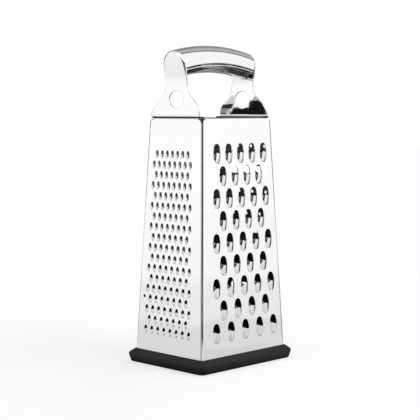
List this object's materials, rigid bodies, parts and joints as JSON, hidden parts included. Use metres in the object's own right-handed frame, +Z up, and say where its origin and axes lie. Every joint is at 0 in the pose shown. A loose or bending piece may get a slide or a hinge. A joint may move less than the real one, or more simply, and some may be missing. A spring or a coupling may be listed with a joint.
{
  "type": "box grater",
  "caption": "Four-sided tapered steel box grater with coarse, fine, zesting and slicing sides, rubber foot ring and an arched tube grip on two brackets.",
  "frame": {"origin": "middle of the base, on the foot ring's underside", "axes": "+Z up; the wide coarse side faces -Y and the wide zesting side +Y; the narrow fine side faces -X and the narrow slicing side +X; the grip arches along X"},
  "size_m": [0.116, 0.0952, 0.2733],
  "materials": {
    "steel": "polished stainless steel sheet",
    "bracket_steel": "polished stainless steel plate",
    "grip_steel": "satin stainless steel tube",
    "rubber": "black, matte"
  },
  "bodies": {
    "root": {"coarse_panel": "steel", "zester_panel": "steel", "fine_panel": "steel", "slicer_panel": "steel", "left_bracket": "bracket_steel", "right_bracket": "bracket_steel", "grip_top_shell": "grip_steel", "grip_underside": "grip_steel", "foot_ring": "rubber"}
  },
  "joints": []
}
